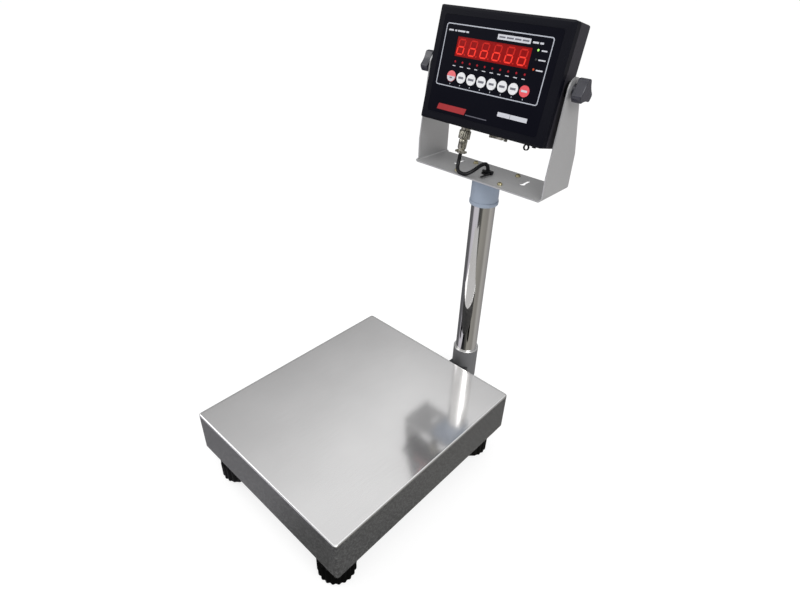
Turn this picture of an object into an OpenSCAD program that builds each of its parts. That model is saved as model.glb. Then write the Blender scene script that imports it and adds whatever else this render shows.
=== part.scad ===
// Bench scale: low weighing platform on four screw feet, column behind it,
// and a tilting indicator held in a U bracket by two clamp knobs.
// X is to the operator's right, Y points from the operator to the column, Z is up.
// The origin is on the floor, under the middle of the overall outline.

/* [Platform] */
// Width of the weighing platter
plat_w = 300; // [280:5:400]
// Depth of the weighing platter
plat_d = 354; // [340:2:460]
// Height of the platter's top above the floor
plat_h = 120; // [118:1:150]
// Height of the platter's folded skirt
skirt_h = 66; // [50:1:68]
// Thickness of the platter's sheet
sheet_t = 1.5; // [1:0.1:2]

/* [Feet] */
// Diameter of a levelling foot
foot_d = 53; // [44:1:56]
// Height of a levelling foot's knob
foot_h = 34; // [28:1:36]
// Distance from the platter's side to a foot's axis
foot_inset_x = 36.5; // [32:0.5:45]
// Distance from the platter's front or rear edge to a foot's axis
foot_inset_y = 30; // [29:0.5:45]
// Diameter of a foot's threaded stud
foot_stud_d = 10; // [8:1:12]

/* [Load cell] */
// Length of the single-point load cell
cell_l = 130; // [110:5:150]
// Width of the load cell
cell_w = 30; // [22:1:40]
// Height of the load cell
cell_h = 22; // [20:1:22]

/* [Column] */
// Distance from the platter's rear edge to the column's axis
column_offset = 97; // [60:1:130]
// Outside diameter of the column's tube
tube_d = 38; // [32:1:46]
// Wall of the column's tube
tube_t = 1.5; // [1:0.1:2.5]
// Height of the bracket's underside above the floor
bracket_z = 408; // [340:1:620]
// Height of the collar's top above the floor
collar_top = 78.5; // [66:0.5:95]

/* [Bracket] */
// Inside gap between the indicator's side and a bracket leg
side_gap = 7; // [5:0.5:14]
// Depth of the bracket's base plate
bracket_d = 73; // [66:1:90]
// Thickness of the bracket's sheet
bracket_t = 2; // [1.5:0.1:3]
// Height of the pivot above the bracket's underside
pivot_h = 141.5; // [132:0.5:170]

/* [Indicator] */
// Width of the indicator's housing
head_w = 208; // [196:1:250]
// Height of the indicator's housing
head_h = 151; // [146:1:160]
// Distance from the indicator's face to its pivot
head_front = 26; // [26:1:32]
// Distance from the pivot to the indicator's back
head_back = 15; // [14:1:24]
// Backward tilt of the indicator's face
head_tilt = 13; // [5:1:25]
// Diameter of a key
key_d = 14.4; // [12:0.1:14.6]
// Distance between two keys
key_pitch = 17.1; // [16.8:0.1:18]

/* [Hidden] */
$fn = 48;
eps = 0.01;

// Clearances
run_fit = 0.08;
free_gap = 0.3;
hole_gap = 0.3;

// Layout in plan
leg_front = 31;
leg_rear = 41;
rear_reach = plat_d / 2 + column_offset + leg_rear;
plat_y = (plat_d / 2 - rear_reach) / 2;
col_y = plat_y + plat_d / 2 + column_offset;
foot_x = plat_w / 2 - foot_inset_x;
foot_y = plat_d / 2 - foot_inset_y;
corner_r = 5;
fold_r = 2.5;

// Heights of the weighing stack, from the top down
pad_h = 8.5;
load_h = 14;
cell_boss_h = 6;
load_top = plat_h - sheet_t - pad_h;
load_z = load_top - load_h;
cell_top = load_z - cell_boss_h;
cell_z = cell_top - cell_h;
spacer_h = 4;
base_h = 20;
base_top = cell_z - spacer_h;
base_z = base_top - base_h;
rail_w = 30;
rail_t = 2;
cell_cross_d = 60;
cell_end = cell_l / 2 - 17;
bolt_pitch_x = 18;
bolt_pitch_y = 12;
m6 = 6;

// Column arm
arm_w = 36;
arm_h = 14;
arm_t = 2;
arm_z = base_z - arm_h;
arm_y0 = plat_y + 20;
socket_z = 14;
socket_floor = 4;
tube_z = socket_z + socket_floor;
collar_r = tube_d / 2 + 3.5;
ring_h = 2;
ring_chamfer = 0.8;
plug_h = 12;
window_side = 9;
cap_r = tube_d / 2 + 3;
cap_lip = 0.8;
cap_lip_h = 6.5;
cap_h = 46;
cap_flange_w = 90;
cap_flange_d = 58;
cap_flange_h = 3;
cap_screw_x = 39;
cap_screw_y = 24;
screw_d = 5;
bolt_head_h = 4;

// Bracket
leg_in = head_w / 2 + side_gap;
leg_out = leg_in + bracket_t;
leg_top_r = 16;
bend_r = 4;
keyhole_x = 61;
keyhole_y = 2;
keyhole_l = 17.5;
keyhole_slot = 5.5;
grommet_d = 15;
pivot_z = bracket_z + pivot_h;

// Indicator
wall = 2.6;
seam = head_front - 12;
gasket_h = 1;
overlay_t = 0.6;
overlay_w = 184;
overlay_h = 128;
overlay_r = 4;
window_w = 118;
window_h = 25;
window_x = -4.5;
window_z = 26;
window_t = 2;
key_z = -12.6;
key_x0 = -1.1;
key_travel = 0.7;
led_z = 6.7;
led_pitch = 12.5;
led_x0 = -3.3;
led_col_x = 63.2;
led_col_zs = [37, 26, 14.5];
led_d = 3;
board_w = 164;
board_h = 112;
board_t = 1.6;
board_y = -head_front + 9.7;
boss_x = head_w / 2 - 10;
boss_z = head_h / 2 - 10;
post_x = board_w / 2 - 5;
post_z = board_h / 2 - 5;
stud_d = 8;
boss_l = 16;
bush_r = 10;
battery_w = 98;
battery_t = 18;
battery_z0 = -50;
battery_z1 = -8;
rib_t = 2.7;
plug_x = -36;
plug_y = 2;
plug_l = 39;
port_x = 21;
port_y = 2;
clip_x = 73;
clip_y = -8;
clip_l = 14;
clip_screw_x = 11;
clip_t = 1.4;
clip_loop_r = 4.2;
clip_loop_z = 4.7;
knob_r = 16.3;
knob_l = 17.5;
knob_hub_r = 8.4;
knob_hub_h = 4;
knob_flute_r = 32.6;
knob_root_r = 10.5;
knob_turn = 10;
knob_lobes = 3;
knob_bore_l = 13;

// Route of the load cell's cable, which stays the same while the indicator rests:
// load cell, column arm, inside of the column, loop above the bracket, plug
cable_d = 5.6;
cable_sides = 10;
cell_out_y = plat_y + cell_l / 2;
cable_z = cell_z + cell_h / 2;
arm_mid_z = arm_z + arm_h / 2;
plug_end = [plug_x, plug_y, -head_h / 2 - plug_l];
function tilted(p) = [
    p[0],
    col_y + p[1] * cos(head_tilt) + p[2] * sin(head_tilt),
    pivot_z - p[1] * sin(head_tilt) + p[2] * cos(head_tilt)
];
cable_exit = tilted(plug_end);
cable_route = [
    [0, cell_out_y, cable_z],
    [0, cell_out_y + 12, cable_z],
    [0, cell_out_y + 26, cable_z - 6],
    [0, cell_out_y + 35, base_top - 10],
    [0, cell_out_y + 37, base_z + 6],
    [0, cell_out_y + 39, arm_mid_z + 6],
    [0, cell_out_y + 48, arm_mid_z],
    [0, cell_out_y + 70, arm_mid_z],
    [0, col_y - 50, arm_mid_z],
    [0, col_y - 24, arm_mid_z + 1],
    [0, col_y - 10, arm_mid_z + 4],
    [0, col_y - 2, arm_mid_z + 14],
    [0, col_y, arm_mid_z + 30],
    [0, col_y, arm_mid_z + 60],
    [0, col_y, bracket_z - 60],
    [0, col_y, bracket_z - 20],
    [0, col_y, bracket_z],
    [0, col_y, bracket_z + 10],
    [-2, col_y - 3, bracket_z + 16.5],
    [-6, col_y - 10, bracket_z + 15.5],
    [-10, col_y - 25, bracket_z + 9],
    [-15, col_y - 34, bracket_z + 5.5],
    [-21, col_y - 37, bracket_z + 5.5],
    [-28, col_y - 36, bracket_z + 7],
    [-34, col_y - 31, bracket_z + 11],
    cable_exit + [0, -2.7, -11.5],
    cable_exit
];

// Points of an arc, for polygons
function arc(c, r, a0, a1, n = 6) = [
    for (i = [0:n]) c + r * [cos(a0 + (a1 - a0) * i / n), sin(a0 + (a1 - a0) * i / n)]
];

// Outline of a rectangle with round corners, centred on the origin
function round_rect(w, d, r, n = 6) = concat(
    arc([w / 2 - r, d / 2 - r], r, 0, 90, n),
    arc([-w / 2 + r, d / 2 - r], r, 90, 180, n),
    arc([-w / 2 + r, -d / 2 + r], r, 180, 270, n),
    arc([w / 2 - r, -d / 2 + r], r, 270, 360, n)
);

// Point where a line from p touches a circle; side is 1 or -1
function touch(p, c, r, side) =
    let (v = p - c, base = atan2(v[1], v[0]), turn = acos(r / norm(v)))
    c + r * [cos(base + side * turn), sin(base + side * turn)];

module prism_x(l) {
    rotate([90, 0, 90]) translate([0, 0, -l / 2]) linear_extrude(l) children();
}

module prism_y(y0, y1) {
    translate([0, y1, 0]) rotate([90, 0, 0]) linear_extrude(y1 - y0) children();
}

module plate_z(z0, z1) {
    translate([0, 0, z0]) linear_extrude(z1 - z0) children();
}

module block(x0, x1, y0, y1, z0, z1) {
    translate([x0, y0, z0]) cube([x1 - x0, y1 - y0, z1 - z0]);
}

module at_platform() {
    translate([0, plat_y, 0]) children();
}

module at_column() {
    translate([0, col_y, 0]) children();
}

module at_head() {
    translate([0, col_y, pivot_z]) rotate([-head_tilt, 0, 0]) children();
}

module rod(d, z0, z1) {
    translate([0, 0, z0]) cylinder(h = z1 - z0, d = d);
}

module rod_y(d, y0, y1) {
    translate([0, y0, 0]) rotate([-90, 0, 0]) cylinder(h = y1 - y0, d = d);
}

module rod_x(d, x0, x1) {
    translate([x0, 0, 0]) rotate([0, 90, 0]) cylinder(h = x1 - x0, d = d);
}

module hex(af, h) {
    cylinder(h = h, d = af / cos(30), $fn = 6);
}

module at_feet() {
    for (sx = [-1, 1], sy = [-1, 1]) translate([sx * foot_x, plat_y + sy * foot_y, 0]) children();
}

// ---------------------------------------------------------------- weighing base

module tube_bar(x, y, z, wall_t) {
    difference() {
        translate([-x / 2, -y / 2, 0]) cube([x, y, z]);
        translate([-x / 2 + wall_t, -y / 2 + wall_t, wall_t])
            cube([x - 2 * wall_t, y - 2 * wall_t, z - 2 * wall_t]);
    }
}

rail_l = 2 * foot_y + 30;
cross_l = 2 * foot_x - rail_w;
front_cross_y = -foot_y + 10;
rear_cross_y = foot_y - 10;
cell_cross_y = cell_end - 3;
stop_x = foot_x - 4;
stop_y = foot_y - 28;
arm_bolt_x = 12;
arm_bolt_ys = [cell_cross_y + 22, rear_cross_y];
stop_d = 8;
stop_gap = 0.8;

module base_frame() {
    color("dimgray") at_platform() difference() {
        translate([0, 0, base_z]) {
            for (s = [-1, 1]) translate([s * foot_x, 0, 0]) tube_bar(rail_w, rail_l, base_h, rail_t);
            translate([0, front_cross_y, 0]) tube_bar(cross_l, rail_w, base_h, rail_t);
            translate([0, rear_cross_y, 0]) tube_bar(cross_l, rail_w, base_h, rail_t);
            translate([0, cell_cross_y, 0]) tube_bar(cross_l, cell_cross_d, base_h, rail_t);
        }
        for (sx = [-1, 1], sy = [-1, 1]) {
            translate([sx * foot_x, sy * foot_y, 0])
                rod(foot_stud_d + 2 * run_fit, base_z - 1, base_top + 1);
            translate([sx * stop_x, sy * stop_y, 0]) rod(stop_d + 2 * run_fit, base_z + 5, base_top + 1);
        }
        for (sx = [-1, 1]) {
            for (y = arm_bolt_ys)
                translate([sx * arm_bolt_x, y, 0]) rod(m6 + hole_gap, base_z - 1, base_z + 5);
            for (sy = [-1, 1])
                translate([sx * bolt_pitch_x / 2, cell_end + sy * bolt_pitch_y / 2, 0])
                    rod(m6 + hole_gap, base_z - 1, base_top + 1);
        }
    }
}

module foot_lock_nuts() {
    color("silver") at_feet() translate([0, 0, base_top]) difference() {
        hex(foot_stud_d * 1.7, 6);
        translate([0, 0, -1]) cylinder(h = 8, d = foot_stud_d + 2 * run_fit);
    }
}

module cell_spacer() {
    color("silver") at_platform() difference() {
        block(-cell_w / 2, cell_w / 2, cell_l / 2 - 34, cell_l / 2, base_top, cell_z);
        for (sx = [-1, 1], sy = [-1, 1])
            translate([sx * bolt_pitch_x / 2, cell_end + sy * bolt_pitch_y / 2, 0])
                rod(m6 + hole_gap, base_top - 1, cell_z + 1);
    }
}

module load_cell() {
    bore_r = cell_h / 2 - 3.5;
    color("lightgray") at_platform() difference() {
        block(-cell_w / 2, cell_w / 2, -cell_l / 2, cell_l / 2, cell_z, cell_top);
        for (sy = [-1, 1])
            translate([0, sy * 17, cell_z + cell_h / 2]) rod_x(2 * bore_r, -cell_w / 2 - 1, cell_w / 2 + 1);
        block(-cell_w / 2 - 1, cell_w / 2 + 1, -17, 17,
            cell_z + cell_h / 2 - 4, cell_z + cell_h / 2 + 4);
        for (sx = [-1, 1], sy = [-1, 1]) {
            translate([sx * bolt_pitch_x / 2, cell_end + sy * bolt_pitch_y / 2, 0])
                rod(m6, cell_z - 1, cell_z + 12);
            translate([sx * bolt_pitch_x / 2, -cell_end + sy * bolt_pitch_y / 2, 0])
                rod(m6, cell_top - 12, cell_top + 1);
        }
    }
}

module cap_bolt(z_head, z_tip) {
    up = z_tip > z_head;
    translate([0, 0, up ? z_head - bolt_head_h : z_head]) hex(10, bolt_head_h);
    translate([0, 0, min(z_head, z_tip)]) cylinder(h = abs(z_tip - z_head), d = m6 - 0.02);
}

module cell_bolts_lower() {
    color("silver") at_platform() for (sx = [-1, 1], sy = [-1, 1])
        translate([sx * bolt_pitch_x / 2, cell_end + sy * bolt_pitch_y / 2, 0])
            cap_bolt(base_z, cell_z + 11);
}

module overload_stops() {
    color("silver") at_platform() for (sx = [-1, 1], sy = [-1, 1])
        translate([sx * stop_x, sy * stop_y, 0]) {
            rod(stop_d, base_z + 6, load_z - stop_gap);
            translate([0, 0, base_top]) hex(13, 6);
        }
}

module bubble_level() {
    color("yellowgreen") at_platform() translate([-foot_x, -foot_y + 50, base_top]) {
        cylinder(h = 7, d = 20);
        translate([0, 0, 7]) cylinder(h = 1.5, d = 16);
    }
}

// ---------------------------------------------------------------- column

module column_bolt_spots() {
    for (a = [30, 150, 270]) rotate(a) translate([tube_d / 2 - 8.5, 0, 0]) children();
}

// Way for the cable from the arm into the column
module cable_window() {
    block(-window_side / 2, window_side / 2, -collar_r - 1, 0, arm_z + 1, arm_z + arm_h);
}

// Square tube whose rear end is cut to sit against the socket
module column_arm() {
    hole_y = cell_out_y + 38;
    color("dimgray") difference() {
        block(-arm_w / 2, arm_w / 2, arm_y0, col_y - 12, arm_z, arm_z + arm_h);
        block(-arm_w / 2 + arm_t, arm_w / 2 - arm_t, arm_y0 - 1, col_y,
            arm_z + arm_t, arm_z + arm_h - arm_t);
        at_column() rod(2 * collar_r + 0.02, arm_z - 1, arm_z + arm_h + 1);
        translate([0, hole_y, 0]) rod(cable_d + 6, arm_z + arm_h / 2, arm_z + arm_h + 1);
        for (sx = [-1, 1], y = arm_bolt_ys)
            translate([sx * arm_bolt_x, plat_y + y, 0]) rod(m6 + hole_gap, arm_z - 1, base_z + 1);
        for (sx = [-1, 1], sy = [-1, 1])
            translate([sx * bolt_pitch_x / 2, plat_y + cell_end + sy * bolt_pitch_y / 2, 0])
                rod(12.5, base_z - bolt_head_h - 3, base_z + 1);
    }
}

module column_fasteners() {
    color("silver") {
        for (sx = [-1, 1], y = arm_bolt_ys)
            translate([sx * arm_bolt_x, plat_y + y, 0]) {
                cap_bolt(arm_z, base_z + 10);
                translate([0, 0, base_z + rail_t]) hex(10, 5);
            }
        at_column() column_bolt_spots() cap_bolt(socket_z, tube_z + plug_h - 2);
    }
}

module column_socket() {
    color("dimgray") at_column() difference() {
        rod(2 * collar_r, socket_z, collar_top - ring_h);
        rod(tube_d + 2 * run_fit, tube_z, collar_top);
        column_bolt_spots() rod(m6 + hole_gap, socket_z - 1, tube_z + 1);
        cable_window();
    }
}

module collar_ring() {
    color("white") at_column() difference() {
        union() {
            rod(2 * collar_r, collar_top - ring_h, collar_top - ring_chamfer);
            translate([0, 0, collar_top - ring_chamfer])
                cylinder(h = ring_chamfer, r1 = collar_r, r2 = collar_r - ring_chamfer);
        }
        rod(tube_d + 2 * run_fit, collar_top - ring_h - 1, collar_top + 1);
    }
}

module column_plug() {
    plug_r = tube_d / 2 - tube_t - run_fit;
    color("gray") at_column() difference() {
        rod(2 * plug_r, tube_z, tube_z + plug_h);
        column_bolt_spots() rod(m6, tube_z - 1, tube_z + plug_h - 2);
    }
}

module column_tube() {
    color("silver") at_column() difference() {
        rod(tube_d, tube_z, bracket_z - 8);
        rod(tube_d - 2 * tube_t, tube_z - 1, bracket_z);
        cable_window();
    }
}

module top_cap() {
    z0 = bracket_z - cap_h;
    color("lightsteelblue") at_column() difference() {
        union() {
            translate([0, 0, z0])
                cylinder(h = 1, r1 = cap_r + cap_lip - 0.8, r2 = cap_r + cap_lip);
            rod(2 * (cap_r + cap_lip), z0 + 1, z0 + cap_lip_h);
            translate([0, 0, z0 + cap_lip_h])
                cylinder(h = cap_h - cap_lip_h, r1 = cap_r, r2 = cap_r - 0.5);
            plate_z(bracket_z - cap_flange_h, bracket_z)
                polygon(round_rect(cap_flange_w, cap_flange_d, 6));
        }
        rod(tube_d + 2 * run_fit, z0 - 1, bracket_z - 8);
        rod(grommet_d - 1, z0, bracket_z + 1);
        for (sx = [-1, 1], sy = [-1, 1])
            translate([sx * cap_screw_x, sy * cap_screw_y, 0])
                rod(screw_d, bracket_z - cap_flange_h - 1, bracket_z + 1);
    }
}

// ---------------------------------------------------------------- bracket

function leg_outline() = let (
        top = [0, pivot_h],
        front = [-leg_front, 35],
        rear = [leg_rear, 52],
        tf = touch(front, top, leg_top_r, -1),
        tr = touch(rear, top, leg_top_r, 1),
        a0 = atan2(tr[1] - top[1], tr[0] - top[0]),
        a1 = atan2(tf[1] - top[1], tf[0] - top[0])
    )
    concat(
        [[-bracket_d / 2, 0], [leg_rear, 0], rear],
        arc(top, leg_top_r, a0, a1, 16),
        [front, [-leg_front, 5], [-bracket_d / 2, 3]]
    );

module bracket_bend() {
    inner_r = bend_r - bracket_t;
    top = pivot_h + leg_top_r + 1;
    polygon(concat(
        [[leg_out, top], [leg_in, top]],
        arc([leg_in - inner_r, bracket_t + inner_r], inner_r, 360, 270),
        arc([-leg_in + inner_r, bracket_t + inner_r], inner_r, 270, 180),
        [[-leg_in, top], [-leg_out, top]],
        arc([-leg_out + bend_r, bend_r], bend_r, 180, 270),
        arc([leg_out - bend_r, bend_r], bend_r, 270, 360)
    ));
}

module keyhole(side) {
    hole_r = 4.5;
    translate([side * keyhole_x, keyhole_y, 0]) {
        cylinder(h = 3 * bracket_t, r = hole_r, center = true);
        translate([0, keyhole_l / 2, 0])
            cube([keyhole_slot, keyhole_l, 3 * bracket_t], center = true);
        translate([0, keyhole_l, 0]) cylinder(h = 3 * bracket_t, d = keyhole_slot, center = true);
    }
}

module head_bracket() {
    inner = leg_in - 3;
    color("gainsboro") translate([0, col_y, bracket_z]) difference() {
        intersection() {
            prism_y(-bracket_d, bracket_d) bracket_bend();
            prism_x(2 * leg_out + 2) polygon(leg_outline());
        }
        block(-inner, inner, bracket_d / 2, bracket_d, -1, bracket_t + 1);
        translate([0, 0, -1]) cylinder(h = bracket_t + 2, d = grommet_d);
        for (s = [-1, 1]) {
            translate([0, 0, bracket_t / 2]) keyhole(s);
            for (sy = [-1, 1]) translate([s * cap_screw_x, sy * cap_screw_y, -1])
                cylinder(h = bracket_t + 2, d = screw_d + hole_gap);
            translate([0, 0, pivot_h]) rod_x(stud_d + hole_gap,
                s * (leg_in + leg_out) / 2 - bracket_t, s * (leg_in + leg_out) / 2 + bracket_t);
        }
    }
}

module bracket_screws() {
    color("khaki") at_column() for (sx = [-1, 1], sy = [-1, 1])
        translate([sx * cap_screw_x, sy * cap_screw_y, 0]) {
            rod(screw_d - 0.02, bracket_z - cap_flange_h, bracket_z + bracket_t);
            difference() {
                translate([0, 0, bracket_z + bracket_t]) cylinder(h = 2.6, r1 = 4.2, r2 = 3.1);
                block(-0.6, 0.6, -3, 3, bracket_z + bracket_t + 1.4, bracket_z + 8);
                block(-3, 3, -0.6, 0.6, bracket_z + bracket_t + 1.4, bracket_z + 8);
            }
        }
}

module cable_grommet() {
    top = bracket_z + bracket_t;
    color("black") at_column() difference() {
        union() {
            rod(grommet_d - 0.02, bracket_z, top);
            rod(grommet_d + 3, top, top + 1);
        }
        rod(cable_d + 1, bracket_z - 1, top + 3);
    }
}

module cable_tie() {
    z0 = bracket_z + bracket_t + 1.2;
    color("black") at_column() difference() {
        union() {
            rod(cable_d + 3.4, z0, z0 + 3.4);
            block(cable_d / 2, cable_d / 2 + 6.5, -2.6, 2.6, z0 - 0.1, z0 + 3.6);
            block(-cable_d / 2 - 6, -cable_d / 2, -1.8, 1.8, z0 + 1, z0 + 2.4);
            block(cable_d / 2 + 2, cable_d / 2 + 5, -26, -2, z0 + 0.6, z0 + 1.9);
        }
        rod(cable_d, z0 - 1, z0 + 5);
    }
}

// Smooth curve through the route's points
function blend_point(p0, p1, p2, p3, t) = 0.5 * (
    2 * p1 + (p2 - p0) * t
    + (2 * p0 - 5 * p1 + 4 * p2 - p3) * t * t
    + (3 * p1 - p0 - 3 * p2 + p3) * t * t * t
);
function spans(p, step) = [
    for (i = [0:len(p) - 2]) max(1, round(norm(p[i + 1] - p[i]) / step))
];
function smooth_path(p, step) = let (n = len(p), s = spans(p, step)) concat(
    [
        for (i = [0:n - 2], j = [0:s[i] - 1])
            blend_point(p[max(i - 1, 0)], p[i], p[i + 1], p[min(i + 2, n - 1)], j / s[i])
    ],
    [p[n - 1]]
);
function unit(v) = v / norm(v);
function heading(p, i) = unit(p[min(i + 1, len(p) - 1)] - p[max(i - 1, 0)]);
function sides(p, i, last) = let (
        t = heading(p, i),
        u = unit(last - (last * t) * t)
    )
    i == len(p) - 1 ? [u] : concat([u], sides(p, i + 1, u));
function ring_points(c, t, u, r, n) = let (v = cross(t, u)) [
    for (k = [0:n - 1]) c + r * (cos(360 * k / n) * u + sin(360 * k / n) * v)
];

module swept_cord(route, d, n, step) {
    p = smooth_path(route, step);
    m = len(p);
    u = sides(p, 0, [1, 0, 0]);
    points = [for (i = [0:m - 1]) each ring_points(p[i], heading(p, i), u[i], d / 2, n)];
    skin = [
        for (i = [0:m - 2], k = [0:n - 1])
            [i * n + k, i * n + (k + 1) % n, (i + 1) * n + (k + 1) % n, (i + 1) * n + k]
    ];
    start_cap = [[for (k = [n - 1:-1:0]) k]];
    end_cap = [[for (k = [0:n - 1]) (m - 1) * n + k]];
    polyhedron(points = points, faces = concat(skin, start_cap, end_cap), convexity = 8);
}

module loadcell_cable() {
    color("black") swept_cord(cable_route, cable_d, cable_sides, 13);
}

// ---------------------------------------------------------------- load frame and platter

load_rail_w = 25;
load_x = foot_x - 8;
load_l = plat_d - 2 * sheet_t - 24;
pad_x = load_x;
pad_y = load_l / 2 - 20;

module load_frame() {
    inner_l = 2 * load_x - load_rail_w;
    color("dimgray") at_platform() difference() {
        union() {
            translate([0, 0, load_z]) {
                for (s = [-1, 1]) translate([s * load_x, 0, 0])
                    tube_bar(load_rail_w, load_l, load_h, rail_t);
                for (s = [-1, 1]) translate([0, s * (load_l / 2 - 30), 0])
                    tube_bar(inner_l, load_rail_w, load_h, rail_t);
                translate([0, -cell_end + 3, 0]) tube_bar(inner_l, cell_cross_d, load_h, rail_t);
            }
            block(-cell_w / 2, cell_w / 2, -cell_l / 2, -cell_l / 2 + 34, cell_top, load_z + rail_t);
        }
        for (sx = [-1, 1], sy = [-1, 1])
            translate([sx * bolt_pitch_x / 2, -cell_end + sy * bolt_pitch_y / 2, 0]) {
                rod(m6 + hole_gap, cell_top - 1, load_top + 1);
                rod(12.5, load_z + rail_t + eps, load_top + 1);
            }
    }
}

module cell_bolts_upper() {
    color("silver") at_platform() for (sx = [-1, 1], sy = [-1, 1])
        translate([sx * bolt_pitch_x / 2, -cell_end + sy * bolt_pitch_y / 2, 0])
            cap_bolt(load_z + rail_t + eps, cell_top - 11);
}

module platter_pads() {
    color("black") at_platform() for (sx = [-1, 1], sy = [-1, 1])
        translate([sx * pad_x, sy * pad_y, load_top]) cylinder(h = pad_h, r1 = 13, r2 = 11);
}

module fold_profile(w, drop, r) {
    polygon(concat(
        [[w / 2, -drop]],
        arc([w / 2 - r, -r], r, 0, 90),
        arc([-w / 2 + r, -r], r, 90, 180),
        [[-w / 2, -drop]]
    ));
}

module platter() {
    inner_w = plat_w - 2 * sheet_t;
    inner_d = plat_d - 2 * sheet_t;
    color("lightgray") translate([0, plat_y, plat_h]) difference() {
        intersection() {
            plate_z(-skirt_h, 1) polygon(round_rect(plat_w, plat_d, corner_r));
            prism_y(-plat_d, plat_d) fold_profile(plat_w, skirt_h + 1, fold_r);
            prism_x(2 * plat_w) fold_profile(plat_d, skirt_h + 1, fold_r);
        }
        plate_z(-skirt_h - 1, -sheet_t) polygon(round_rect(inner_w, inner_d, corner_r - sheet_t));
    }
}

// ---------------------------------------------------------------- feet

module at_foot(sx, sy) {
    translate([sx * foot_x, plat_y + sy * foot_y, 0]) children();
}

module foot_stud(sx, sy) {
    color("silver") at_foot(sx, sy) {
        rod(foot_stud_d, 8, base_top + 13);
        translate([0, 0, base_top + 13])
            cylinder(h = 1, r1 = foot_stud_d / 2, r2 = foot_stud_d / 2 - 1);
    }
}

module foot_knob(sx, sy) {
    lobes = 18;
    r = foot_d / 2;
    color("black") at_foot(sx, sy) difference() {
        union() {
            cylinder(h = 3, r1 = r - 4, r2 = r - 2.5);
            difference() {
                rod(2 * r, 3, foot_h);
                for (i = [0:lobes - 1]) rotate(360 * i / lobes)
                    translate([r + 0.9, 0, 2]) cylinder(h = foot_h, r = 2.6);
            }
            translate([0, 0, foot_h]) cylinder(h = 4, r1 = 13, r2 = 11);
        }
        rod(foot_stud_d + 2 * run_fit, 8 - free_gap, foot_h + 10);
    }
}

module foot_stud_fl() { foot_stud(-1, -1); }
module foot_stud_fr() { foot_stud(1, -1); }
module foot_stud_rl() { foot_stud(-1, 1); }
module foot_stud_rr() { foot_stud(1, 1); }
module foot_knob_fl() { foot_knob(-1, -1); }
module foot_knob_fr() { foot_knob(1, -1); }
module foot_knob_rl() { foot_knob(-1, 1); }
module foot_knob_rr() { foot_knob(1, 1); }

// ---------------------------------------------------------------- indicator

function chamfered(w, h, c) = [
    [-w / 2 + c, -h / 2], [w / 2 - c, -h / 2], [w / 2, -h / 2 + c], [w / 2, h / 2 - c],
    [w / 2 - c, h / 2], [-w / 2 + c, h / 2], [-w / 2, h / 2 - c], [-w / 2, -h / 2 + c]
];

// Solid shape of the closed housing, inset by a wall; y runs from the face to the back
module head_solid(inset) {
    w = head_w - 2 * inset;
    h = head_h - 2 * inset;
    d = head_front + head_back - 2 * inset;
    mid = (head_back - head_front) / 2;
    c = max(3 - inset, 0.8);
    intersection() {
        prism_y(mid - d / 2, mid + d / 2) polygon(round_rect(w, h, c + 0.5, 4));
        translate([0, mid, 0]) linear_extrude(2 * h, center = true) polygon(chamfered(w, d, c));
        translate([0, mid, 0]) prism_x(2 * w) polygon(chamfered(d, h, c));
    }
}

module at_keys() {
    for (i = [0:7]) translate([key_x0 + (i - 3.5) * key_pitch, 0, key_z]) children();
}

module at_leds() {
    for (i = [0:9]) translate([led_x0 + (i - 4.5) * led_pitch, 0, led_z]) children();
    for (z = led_col_zs) translate([led_col_x, 0, z]) children();
}

module at_corners(x, z) {
    for (sx = [-1, 1], sz = [-1, 1]) translate([sx * x, 0, sz * z]) children();
}

module front_housing() {
    face = -head_front;
    rim = -seam;
    color("#1c1d24") at_head() difference() {
        union() {
            difference() {
                head_solid(0);
                block(-head_w, head_w, rim, head_back + 1, -head_h, head_h);
                intersection() {
                    head_solid(wall);
                    block(-head_w, head_w, face + wall + overlay_t, rim + 1, -head_h, head_h);
                }
            }
            at_corners(boss_x, boss_z) rod_y(9, face + 2, rim);
            at_corners(post_x, post_z) rod_y(7, face + 2, board_y);
        }
        prism_y(face - 1, face + overlay_t)
            polygon(round_rect(overlay_w + 0.4, overlay_h + 0.4, overlay_r));
        block(window_x - window_w / 2 - 1.2, window_x + window_w / 2 + 1.2,
            face - 1, face + wall + 2,
            window_z - window_h / 2 - 1.2, window_z + window_h / 2 + 1.2);
        at_keys() rod_y(key_d + 2 * free_gap, face - 1, face + wall + 2);
        at_leds() rod_y(led_d + 0.2, face - 1, face + wall + 2);
        at_corners(boss_x, boss_z) rod_y(3, face + 4, rim + 1);
        at_corners(post_x, post_z) rod_y(2.5, face + 4, board_y + 1);
    }
}

module rear_housing() {
    rim = -seam + gasket_h;
    back = head_back;
    color("#26262c") at_head() difference() {
        union() {
            difference() {
                head_solid(0);
                block(-head_w, head_w, -head_front - 1, rim, -head_h, head_h);
                intersection() {
                    head_solid(wall);
                    block(-head_w, head_w, rim - 1, back - wall, -head_h, head_h);
                }
            }
            at_corners(boss_x, boss_z) rod_y(9, rim, back - 2);
            for (s = [-1, 1]) mirror([s < 0 ? 1 : 0, 0, 0]) {
                rod_x(2 * stud_d, head_w / 2 - boss_l, head_w / 2 - 1);
                block(battery_w / 2 + free_gap, battery_w / 2 + free_gap + rib_t,
                    back - 14, back - 2, battery_z0, battery_z1);
            }
        }
        at_corners(boss_x, boss_z) {
            rod_y(3.6, rim - 1, back + 1);
            rod_y(6.8, back - 3, back + 1);
        }
        for (s = [-1, 1]) mirror([s < 0 ? 1 : 0, 0, 0])
            rod_x(stud_d + 2 * run_fit, head_w / 2 - boss_l - 1, head_w / 2 + 1);
        translate([plug_x, plug_y, 0]) rod(14.2, -head_h / 2 - 1, -head_h / 2 + 12);
        block(port_x - 10, port_x + 10, port_y - 5, port_y + 5, -head_h / 2 - 1, -head_h / 2 + 5);
        translate([clip_x + clip_screw_x, clip_y, 0]) rod(3, -head_h / 2 - 1, -head_h / 2 + 6);
    }
}

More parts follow.
